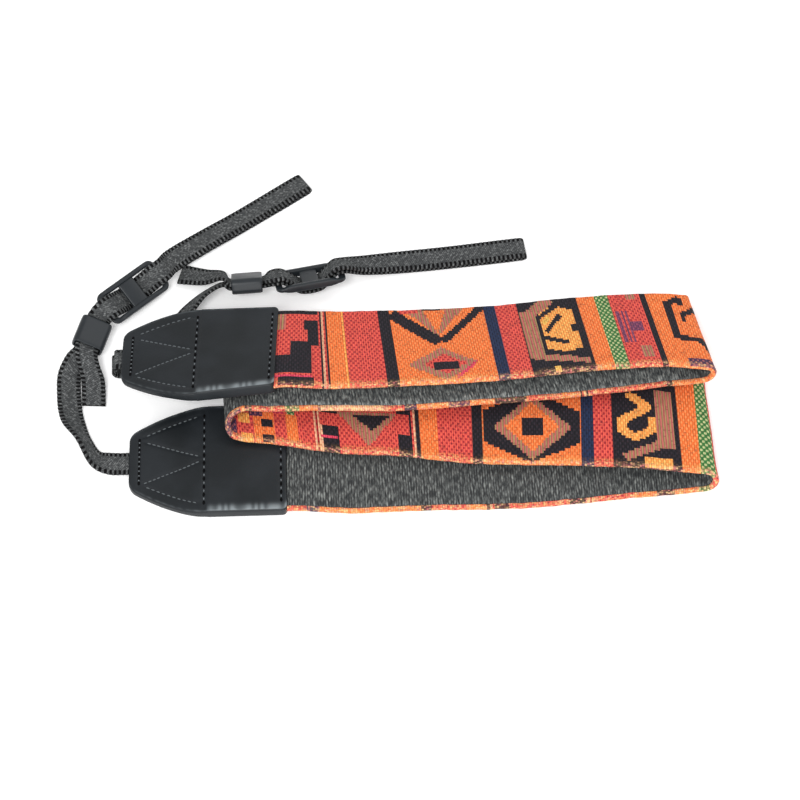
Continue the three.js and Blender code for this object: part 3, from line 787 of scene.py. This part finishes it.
# A piece's own place on its cloth: along and across in mm, from its UV map in metres.
def clothPlace(tree):
    uv = node(tree, "ShaderNodeUVMap", uv_map="weave")
    place = node(tree, "ShaderNodeVectorMath", {0: uv, 3: 1000.0}, operation="SCALE")
    parts = tree.nodes.new("ShaderNodeSeparateXYZ")
    tree.links.new(place, parts.inputs[0])
    return place, parts.outputs[0], parts.outputs[1]


# Dyes: the ground colour and the fleck woven into it, as seen on a screen.
dyes = {
    "orange": ((240, 117, 58), (252, 148, 88)),
    "amber": ((246, 156, 78), (255, 190, 105)),
    "coral": ((230, 92, 78), (172, 46, 54)),
    "pink": ((226, 74, 98), (205, 60, 86)),
    "red": ((180, 42, 50), (140, 30, 40)),
    "black": ((31, 30, 35), (48, 42, 50)),
    "navy": ((38, 50, 80), (30, 38, 62)),
    "green": ((66, 120, 64), (204, 208, 150)),
    "cream": ((240, 190, 150), (230, 150, 120)),
    "yellow": ((242, 184, 88), (252, 210, 120)),
    "purple": ((112, 62, 92), (150, 78, 104)),
    "plum": ((70, 48, 78), (160, 92, 96)),
}
# Stripes across the band: where each begins, mm along it, and its dye. A chart starts at its key and covers
# one repeat, of the length given here. The next repeat lies face down.
repeats = {26.0: 214.0, 428.0: 218.0}
stripeCharts = {
    26.0: [
        (26, "coral"), (51.5, "black"), (52.3, "cream"), (53.4, "coral"), (54.2, "black"), (55, "orange"),
        (61.3, "amber"), (62.4, "coral"), (77.5, "black"), (82.2, "orange"), (122.8, "navy"),
        (127.8, "coral"), (136.5, "black"), (162.4, "orange"), (170, "green"), (176, "coral"),
        (189.6, "black"), (192.2, "orange"), (230, "black"), (233.2, "coral"),
    ],
    428.0: [
        (428, "orange"), (437, "coral"), (454.2, "cream"), (455.1, "red"), (456, "cream"), (457, "black"),
        (464.5, "coral"), (489, "black"), (494.5, "coral"), (495.4, "cream"), (496.6, "black"),
        (498, "orange"), (505.7, "coral"), (520.2, "black"), (525, "orange"), (565.6, "navy"),
        (570.6, "coral"), (578.7, "black"), (605.2, "orange"), (613.5, "green"), (618.5, "coral"),
        (623.5, "green"), (628, "orange"), (638, "black"),
    ],
}
# Motifs as charted, mm: a dye and its rows. A row holds along and across of the middle, half sizes,
# the turn in degrees unless it is 0, and the shape unless it is a bar. Each covers those before it.
motifs = [
    # Steps by the leather
    ("mottle", (35, 40, 2.2, 5.4)),
    ("black", (42, 46.4, 9, 0.8), (48.2, 38.5, 3.4, 3.2), (48.9, 30, 2.6, 5.6), (43.5, 17.5, 4.6, 10.5),
        (36.5, 13, 2.8, 6)),
    ("coral", (50.2, 12.7, 0.7, 12.8)), ("black", (42, 2, 7, 2.6)), ("pink", (40.5, 5.8, 7.5, 0.9)),
    # The panel with the broad V over an eye
    ("mottle", (102, 38.7, 13, 9.2, 180, "wedge")), ("orange", (102, 38.8, 5, 7.8, 180, "wedge")),
    ("coral", (91, 46.4, 4, 1.2)),
    ("black", (101, 47, 4.2, 0.7), (92.7, 35.4, 13.6, 3, -46.9), (112.9, 36.5, 14.5, 1.8, 49.3)),
    ("mottle", (101.9, 11.3, 14.6, 10.8, 0, "diamond")), ("coral", (102.6, 11.2, 9.2, 6.4, 0, "diamond")),
    ("black", (102.8, 10.5, 5.2, 2.5)), ("pink", (111.2, 7, 7, 0.7, 46.7)),
    # The hook in its frame
    ("amber", (153.1, 27.2, 7.2, 15)), ("mottle", (141.1, 25.2, 3.2, 15.5), (145.8, 42.6, 7.4, 2.9, 42)),
    ("black", (149.6, 39.6, 6.2, 1.2, 40.4), (158, 41.9, 4.2, 1.3, -30), (161, 26, 1.1, 16),
        (145, 24.5, 1, 12.5)),
    ("mottle", (150.6, 8.4, 11.4, 1.9, -13.2)),
    ("black", (150.6, 12, 6.6, 1.3, -19.5), (159.4, 11, 3, 3.2), (150.6, 31.4, 6.6, 1.15, 54.8),
        (150.5, 20.3, 5.4, 1.25, -28), (158.9, 27.5, 1.7, 2)),
    ("yellow", (147.9, 33.6, 0.9, 3, -25), (147.5, 2.3, 1.2, 2)),
    # The comb
    ("purple", *[(178.4 + 1.7 * tooth, 25.5, 0.45, 10.5) for tooth in range(3)], (184.8, 25.8, 2.6, 2.8)),
    ("mottle", (185.6, 9, 2.4, 4), (185.8, 46, 2.2, 2)),
    # The long hook at the fold
    ("black", (200, 29.5, 1.7, 11.7), (202.3, 42.4, 3.8, 1.6, 34), (205.2, 43, 1, 2.6),
        (204.3, 17.9, 4.8, 1.6, -10.6), (204.7, 31.7, 1, 3), (207.5, 35.4, 3.5, 1.6, 27),
        (212.5, 38.9, 3.5, 1.6, 40), (217.2, 38.9, 3.4, 1.6, -44), (223.5, 37.4, 1.6, 9.4),
        (219.7, 26.1, 4.4, 1.6, 28.5), (211.4, 12.6, 6, 1.6, -62)),
    ("plum", (207, 3, 5.5, 2.4)),
    # The third level: the reversed steps
    ("orange", (445, 9, 2.4, 6)), ("green", (445, 16.6, 1.8, 1.6)), ("coral", (460.7, 15.6, 3.8, 3.4)),
    ("pink", (460.7, 7.3, 3.6, 0.8)), ("mottle", (477, 12, 13, 8.6, 180, "wedge")),
    ("black", (478.6, 15.2, 8.6, 4, 180, "wedge")), ("coral", (491.7, 15, 3, 4.6)),
    ("black", (434.2, 9.6, 2.4, 2.2), (434.5, 2, 2.2, 1.5)), ("coral", (423, 9, 6, 13)),
    ("plum", (413.8, 4, 5.8, 7), (420.4, 6.2, 1.5, 3.4)),
    ("amber", (425, 11.6, 2.4, 2.6), (425.8, 1.6, 2.6, 2.4)), ("plum", (430.4, 14.4, 2.8, 2)),
    ("pink", (437.4, 15.6, 4, 1.2)),
    # What shows of the second level's hem
    ("cream", (363.4, 0, 12.8, 5)), ("plum", (320, 0, 4.4, 5)), ("black", (300.4, 0, 4.2, 5)),
    # The diamond
    ("black", (545.5, 18, 35.5, 17.9, 0, "cutDiamond")), ("mottle", (545.9, 17.6, 16.4, 16, 0, "diamond")),
    ("orange", (545.9, 18, 11.4, 12.2, 0, "diamond")), ("black", (545.9, 18.3, 4.2, 4.4)),
    # The second hook
    ("amber", (590, 32.7, 5.6, 1.9, -36.7), (588.1, 26, 7.6, 1.9, 35), (582.9, 20, 1.8, 3.6),
        (585.5, 15.8, 4.2, 1.8, -34), (591.6, 16.4, 5, 1.8, 34), (595, 21.3, 1.7, 3.2)),
    ("mottle", (600.7, 24.5, 3.5, 14.5), (592, 8.6, 9.8, 1.9, 28.4)), ("black", (600.7, 9, 3.2, 1.6)),
    ("amber", (597, 2.8, 5.6, 2.6)),
]
# The look of the weave, mm: motifs have small steps for their edges, a fleck shows where two waves meet, and
# the threads along the near edge are paler, with fluff at its hem. depth, the height of the bump, is in
# metres.
weaveLook = {
    "stepAlong": 0.8, "stepAcross": 1.25, "rib": 0.95, "pick": 0.62, "fleckAlong": 2.05, "fleckAcross": 2.9,
    "depth": 0.00016, "edge": 4.2, "hem": 2.6, "mottleLines": 0.75, "cutAt": 20.2 / 35.5,
    "mottle": (shade(164, 132, 92), shade(190, 102, 96)), "paleEdgeThread": shade(255, 196, 112),
    "fluff": (shade(214, 118, 122), shade(252, 208, 150)), "oddThread": shade(60, 40, 45), "oddShare": 0.07,
}


# Where a motif covers the cloth: its middle and turn folded into two dot products with (along, across, 1).
def motifMask(tree, place, along, across, halfAlong, halfAcross, turn=0, shape="bar"):
    cosine, sine = np.cos(np.radians(turn)), np.sin(np.radians(turn))
    first = (cosine / halfAlong, sine / halfAlong, -(cosine * along + sine * across) / halfAlong)
    second = (-sine / halfAcross, cosine / halfAcross, (sine * along - cosine * across) / halfAcross)
    first, second = (node(tree, "ShaderNodeVectorMath", (place, row), 1, operation="DOT_PRODUCT")
                     for row in (first, second))
    side, rise = maths(tree, "ABSOLUTE", first), maths(tree, "ABSOLUTE", second)
    if shape == "wedge":
        slope = maths(tree, "LESS_THAN", scaled(tree, second, 0.5, side), 0.5)
        return times(tree, slope, maths(tree, "GREATER_THAN", second, -1.0))
    if shape == "bar":
        return maths(tree, "LESS_THAN", maths(tree, "MAXIMUM", side, rise), 1.0)
    inside = maths(tree, "LESS_THAN", maths(tree, "ADD", side, rise), 1.0)
    if shape == "cutDiamond":
        return times(tree, inside, maths(tree, "LESS_THAN", side, weaveLook["cutAt"]))
    return inside


def stripeRamp(tree, along, begin, part):
    ramp = tree.nodes.new("ShaderNodeValToRGB")
    ramp.color_ramp.interpolation = "CONSTANT"
    place = maths(tree, "FLOORED_MODULO", maths(tree, "SUBTRACT", along, begin), repeats[begin])
    tree.links.new(maths(tree, "DIVIDE", place, repeats[begin]), ramp.inputs[0])
    elements = ramp.color_ramp.elements
    elements.remove(elements[1])
    for index, (start, dye) in enumerate(stripeCharts[begin]):
        share = (start - begin) / repeats[begin]
        element = elements[0] if index == 0 else elements.new(share)
        element.position = share
        element.color = shade(*dyes[dye][part])
    return ramp.outputs[0]


# The charted colours of the ground and of its fleck, the motifs read at the middle of each step.
def chartedColours(tree, along, across):
    steps = [maths(tree, "ADD", maths(tree, "SNAP", side, step), step / 2)
             for side, step in ((along, weaveLook["stepAlong"]), (across, weaveLook["stepAcross"]))]
    stepped = node(tree, "ShaderNodeCombineXYZ", (*steps, 1.0))
    first, last = stripeCharts
    later = maths(tree, "GREATER_THAN", along, last)
    colours = [mixed(tree, later, stripeRamp(tree, along, first, part), stripeRamp(tree, along, last, part))
               for part in (0, 1)]
    lines = maths(tree, "SINE", times(tree, along, np.pi / weaveLook["mottleLines"]))
    mottle = mixed(tree, maths(tree, "GREATER_THAN", lines, 0.0), *weaveLook["mottle"])
    for dye, *rows in motifs:
        new = (mottle, mottle) if dye == "mottle" else [shade(*colour) for colour in dyes[dye]]
        for row in rows:
            mask = motifMask(tree, stepped, *row)
            colours = [mixed(tree, mask, *pair) for pair in zip(colours, new)]
    return colours


def wovenFinish(threadGroup):
    material, tree, surface = finish("wovenKilim", 0.92, 0.2, 0.04)
    place, along, across = clothPlace(tree)
    look = weaveLook
    height, tone = threads(tree, threadGroup, along, across, look["rib"], look["pick"])
    ground, fleck = chartedColours(tree, along, across)
    waves = [maths(tree, "SINE", times(tree, side, 2 * np.pi / pitch))
             for side, pitch in ((along, look["fleckAlong"]), (across, look["fleckAcross"]))]
    colour = mixed(tree, smooth(tree, times(tree, *waves), 0.1, 0.45), ground, fleck)
    streak = smooth(tree, streaks(tree, place, (1.4, 0.22, 1.0)), 0.3, 0.7)
    colour = darkened(tree, colour, scaled(tree, streak, 0.3, 0.84))
    edge = opposite(tree, smooth(tree, across, 1.0, look["edge"]))
    parts = tree.nodes.new("ShaderNodeSeparateColor")
    tree.links.new(colour, parts.inputs[0])
    bright = scaled(tree, smooth(tree, parts.outputs[0], 0.1, 0.5), 0.5, 0.1)
    # Paler threads along the near edge, more where the colour is bright.
    paleEdge = times(tree, edge, smooth(tree, tone, 0.2, 0.8))
    colour = mixed(tree, times(tree, paleEdge, bright), colour, look["paleEdgeThread"])
    fuzz = smooth(tree, streaks(tree, place, (0.55, 0.8, 1.0), 3.0), 0.42, 0.6)
    hem = opposite(tree, smooth(tree, across, 0.4, look["hem"]))
    loose = scaled(tree, smooth(tree, tone, 0.45, 0.9), 0.6, 0.1)
    colour = mixed(tree, times(tree, hem, loose), colour, mixed(tree, fuzz, *look["fluff"]))
    # Painted shade: darker where the threads dip, as if shade lay in the gaps between them.
    colour = darkened(tree, colour, scaled(tree, height, 0.5, 0.62))
    odd = maths(tree, "GREATER_THAN", tone, 1 - look["oddShare"])
    colour = mixed(tree, times(tree, odd, 0.35), colour, look["oddThread"])
    cover(tree, surface, colour, height, look["depth"])
    return material


# The second level, from its fold to the next, is painted lighter, with less painted shade between its ribs,
# as if the level above cast no shade on it. The span given holds where that starts and ends, mm along the
# band.
backingLook = {
    "rib": 1.05, "pick": 2.4, "depth": 0.0002, "low": shade(50, 53, 54), "high": shade(140, 143, 140),
    "paintedLightSpan": ((216.0, 226.0), (396.0, 406.0)), "paintedLight": 0.7,
}


def backingFinish(threadGroup):
    material, tree, surface = finish("greyBacking", 0.95, sheen=0.02)
    place, along, across = clothPlace(tree)
    look = backingLook
    height, tone = threads(tree, threadGroup, along, across, look["rib"], look["pick"])
    streak = smooth(tree, streaks(tree, place, (1.3, 0.3, 1.0), 3.0), 0.38, 0.7)
    colour = mixed(tree, times(tree, streak, scaled(tree, tone, 0.6, 0.4)), look["low"], look["high"])
    # Painted shade in the gaps between threads, from their height, lifted by painted light along the second
    # level.
    paintedLight = maths(tree, "SUBTRACT", *(smooth(tree, along, *ends) for ends in look["paintedLightSpan"]))
    share = scaled(tree, height, 0.8, scaled(tree, paintedLight, look["paintedLight"], 0.3))
    cover(tree, surface, darkened(tree, colour, share), height, look["depth"])
    return material


# Twill webbing: ribs on a slant, and dark gaps between the teeth of its edges. edge is in mm from the middle.
webbingLook = {
    "rib": 0.9, "pick": 1.15, "slant": 0.7, "edge": (2.9, 3.3), "gap": (0.66, 0.86), "depth": 0.00018,
    "low": shade(66, 68, 69), "high": shade(130, 132, 132), "dark": shade(6, 6, 7),
}


def webbingFinish(threadGroup):
    material, tree, surface = finish("greyWebbing", 0.85, 0.15)
    place, along, across = clothPlace(tree)
    look = webbingLook
    slanted = scaled(tree, across, look["slant"], along)
    height, tone = threads(tree, threadGroup, slanted, across, look["rib"], look["pick"])
    fromMiddle = maths(tree, "ABSOLUTE", maths(tree, "SUBTRACT", across, strap["webbingWidth"] * 500))
    edge = smooth(tree, fromMiddle, *look["edge"])
    bead = halfWaves(tree, times(tree, along, 1 / (webbingPiece["bead"] * 1000)))
    tooth = times(tree, edge, opposite(tree, smooth(tree, bead, *look["gap"])))
    fleck = smooth(tree, streaks(tree, place, (1.1, 1.1, 1.0), 3.0), 0.35, 0.7)
    tape = mixed(tree, times(tree, fleck, tone), look["low"], look["high"])
    # Painted shade: darker where the threads dip, as if shade lay in the gaps between them.
    tape = darkened(tree, tape, scaled(tree, height, 0.5, 0.56))
    relief = maths(tree, "MAXIMUM", height, times(tree, bead, edge))
    cover(tree, surface, mixed(tree, tooth, tape, look["dark"]), relief, look["depth"])
    return material


# Leather: pores, slow clouds, and paler along its edges where the attribute says: a painted highlight, partly
# rubbed wear.
leatherLook = {
    "low": shade(21, 25, 28), "high": shade(31, 35, 39), "rubbedHighlight": shade(150, 158, 162), "rubbedHighlightShare": 0.6,
    "pores": 1500.0, "clouds": 55.0, "depth": 0.00012,
}


def leatherFinish():
    material, tree, surface = finish("darkLeather", 0.5, 0.28)
    place, look = objectPlace(tree), leatherLook
    cells = node(tree, "ShaderNodeTexVoronoi", {"Vector": place, "Scale": look["pores"]})
    cloud = noise(tree, place, look["clouds"], 4.0)
    colour = mixed(tree, smooth(tree, cloud, 0.3, 0.7), look["low"], look["high"])
    wearAndHighlight = node(tree, "ShaderNodeAttribute", output=2, attribute_name="wearAndHighlight")
    # Mix in the painted highlight, partly rubbed wear, where the attribute says.
    colour = mixed(tree, times(tree, wearAndHighlight, look["rubbedHighlightShare"]), colour, look["rubbedHighlight"])
    tree.links.new(scaled(tree, cloud, 0.2, 0.36), surface.inputs["Roughness"])
    grain = scaled(tree, cloud, 1.2, times(tree, cells, 0.3))
    cover(tree, surface, colour, grain, look["depth"], 0.6)
    return material


plasticLook = {
    "low": shade(24, 28, 32), "high": shade(38, 43, 47), "clouds": 160.0, "grain": 2600.0, "depth": 0.00003,
}


def plasticFinish():
    material, tree, surface = finish("mouldedPlastic", 0.36, 0.35)
    place, look = objectPlace(tree), plasticLook
    cloud = noise(tree, place, look["clouds"], 3.0)
    tree.links.new(scaled(tree, cloud, 0.22, 0.26), surface.inputs["Roughness"])
    colour = mixed(tree, cloud, look["low"], look["high"])
    cover(tree, surface, colour, noise(tree, place, look["grain"]), look["depth"], 0.5)
    return material


def threadFinish(name, dark, light):
    material, tree, surface = finish(name, 0.8, 0.1)
    inputs = {"Vector": objectPlace(tree), "Scale": 900.0, "Distortion": 1.0}
    ply = node(tree, "ShaderNodeTexWave", inputs, 1)
    cover(tree, surface, mixed(tree, ply, dark, light), ply, 0.00005)
    return material


# Stitches of a leather end, on both faces: a short round thread for each, sunk at both ends. Across the end
# thick near-black threads, partly dark thread and partly painted shade of the stitch holes, alternate with
# short pale ones, partly pale thread and partly a painted highlight where the leather puckers between the
# holes, and along its edges and its V the threads are light.
stitches = {
    # Near black: dark thread and painted shade of the stitch holes.
    "dark": {"line": "dark", "pitch": 0.0033, "length": 0.0019, "thick": 0.00055, "rise": 0.00008,
             "low": shade(2, 2, 3), "high": shade(8, 8, 10)},
    # Midway between: pale thread and painted highlight of the leather puckered between the holes.
    "pale": {"line": "dark", "pitch": 0.0033, "length": 0.0012, "thick": 0.0003, "rise": 0.0001,
             "low": shade(78, 82, 86), "high": shade(128, 133, 137)},
    "light": {"line": "light", "pitch": 0.0019, "length": 0.0016, "thick": 0.00032, "rise": 0.00006,
              "low": shade(56, 60, 63), "high": shade(112, 117, 120)},
}


def makeStitches(key, thread):
    pose, size = tabPoses[key], stitches[thread]
    turn = np.linspace(0, 2 * np.pi, 6, endpoint=False)
    part = np.linspace(-1, 1, 7)
    swell = size["thick"] * np.sqrt(np.maximum(1 - part**2, 0.08))
    wide, tall = swell[:, None] * np.cos(turn), swell[:, None] * np.sin(turn)
    rise = size["rise"] * (1 - 2 * part**4)[:, None]
    parts = []
    for line in tabSeams:
        if line[0] != size["line"]:
            continue
        points = seamPoints(line, size["pitch"])
        if thread == "pale":
            points = (points[1:] + points[:-1]) / 2
        heading = unit(points[-1] - points[0])
        for point in points[1:-1]:
            spot = point + part[:, None] * heading * size["length"] / 2
            distance = spot[:, :1] - wide * heading[1]
            side = spot[:, 1:] + wide * heading[0]
            for face, level in zip((-1, 1), tabFaces(point[:1])):
                height = level + face * (rise + tall - tabPiece["stitchDip"])
                middle, across, normal = tabAxes(pose, distance.ravel() - strap["tabLength"])
                placed = middle + across * side.reshape(-1, 1) + normal * height.reshape(-1, 1) * pose["face"]
                parts.append(gridOf(placed.reshape(len(part), len(turn), 3)))
    return pieceOf(f"{thread}_stitches_{key}", joined(parts))


threadGroup = makeThreadGroup()
woven, grey, tape = wovenFinish(threadGroup), backingFinish(threadGroup), webbingFinish(threadGroup)
leather, plastic = leatherFinish(), plasticFinish()
sewing = {name: threadFinish(f"{name}Thread", look["low"], look["high"]) for name, look in stitches.items()}
makeBand().data.materials.append(woven)
makeBacking().data.materials.append(grey)
print("made the band")
for key in "ab":
    makeTab(key).data.materials.append(leather)
    for thread in stitches:
        makeStitches(key, thread).data.materials.append(sewing[thread])
    makeWebbing(key).data.materials.append(tape)
    makeBuckle(key).data.materials.append(plastic)
    makeKeeper(key).data.materials.append(plastic)
    print("made the leather, webbing and fittings of end", key)

# The studio: a pale floor that glows a little, three soft lights and the camera at the photograph's angle.
studio = {
    "cameraBack": 0.53385, "cameraHigh": 0.92465, "lens": 115.3, "sensor": 36, "floorSize": 6.0,
    "floorGlow": 0.22, "floorLow": shade(246, 246, 246), "floorHigh": shade(250, 250, 250), "sky": 0.72,
}
# Each light's place, size across and power.
lights = {
    "keyLight": ((-0.35, -0.75, 1.2), 0.5, 10),
    "fillLight": ((0.6, 0.5, 1.0), 0.9, 3),
    "frontLight": ((0.1, -1.2, 0.5), 0.8, 6),
}
white = (1, 1, 1, 1)


def makeFloor():
    mesh = bpy.data.meshes.new("floor")
    half = studio["floorSize"] / 2
    corners = [(-half, -half, 0), (half, -half, 0), (half, half, 0), (-half, half, 0)]
    mesh.from_pydata(corners, [], [(0, 1, 2, 3)])
    material, tree, surface = finish("paleFloor", 0.9)
    cloud = noise(tree, objectPlace(tree), 3.0)
    tree.links.new(mixed(tree, cloud, studio["floorLow"], studio["floorHigh"]), surface.inputs["Base Color"])
    surface.inputs["Emission Color"].default_value = white
    surface.inputs["Emission Strength"].default_value = studio["floorGlow"]
    mesh.materials.append(material)
    floor = inScene("floor", mesh)


def makeCamera():
    camera = inScene("camera", bpy.data.cameras.new("camera"))
    camera.data.lens = studio["lens"]
    camera.data.sensor_width = studio["sensor"]
    camera.location = (shift[0], shift[1] - studio["cameraBack"], studio["cameraHigh"])
    camera.rotation_euler = (np.arctan2(studio["cameraBack"], studio["cameraHigh"]), 0, 0)
    bpy.context.scene.camera = camera


def makeLight(name, place, size, power):
    lamp = bpy.data.lights.new(name, "AREA")
    lamp.shape, lamp.size, lamp.energy = "DISK", size, power
    light = inScene(name, lamp)
    light.location = place
    light.rotation_euler = (-light.location).to_track_quat("-Z", "Y").to_euler()


def makeSky():
    world = bpy.data.worlds.new("studio")
    world.use_nodes = True
    background = world.node_tree.nodes["Background"]
    background.inputs["Color"].default_value = white
    background.inputs["Strength"].default_value = studio["sky"]
    bpy.context.scene.world = world


makeFloor()
makeCamera()
for name, light in lights.items():
    makeLight(name, *light)
makeSky()
bpy.context.scene.view_settings.view_transform = "Standard"
print("made the studio")
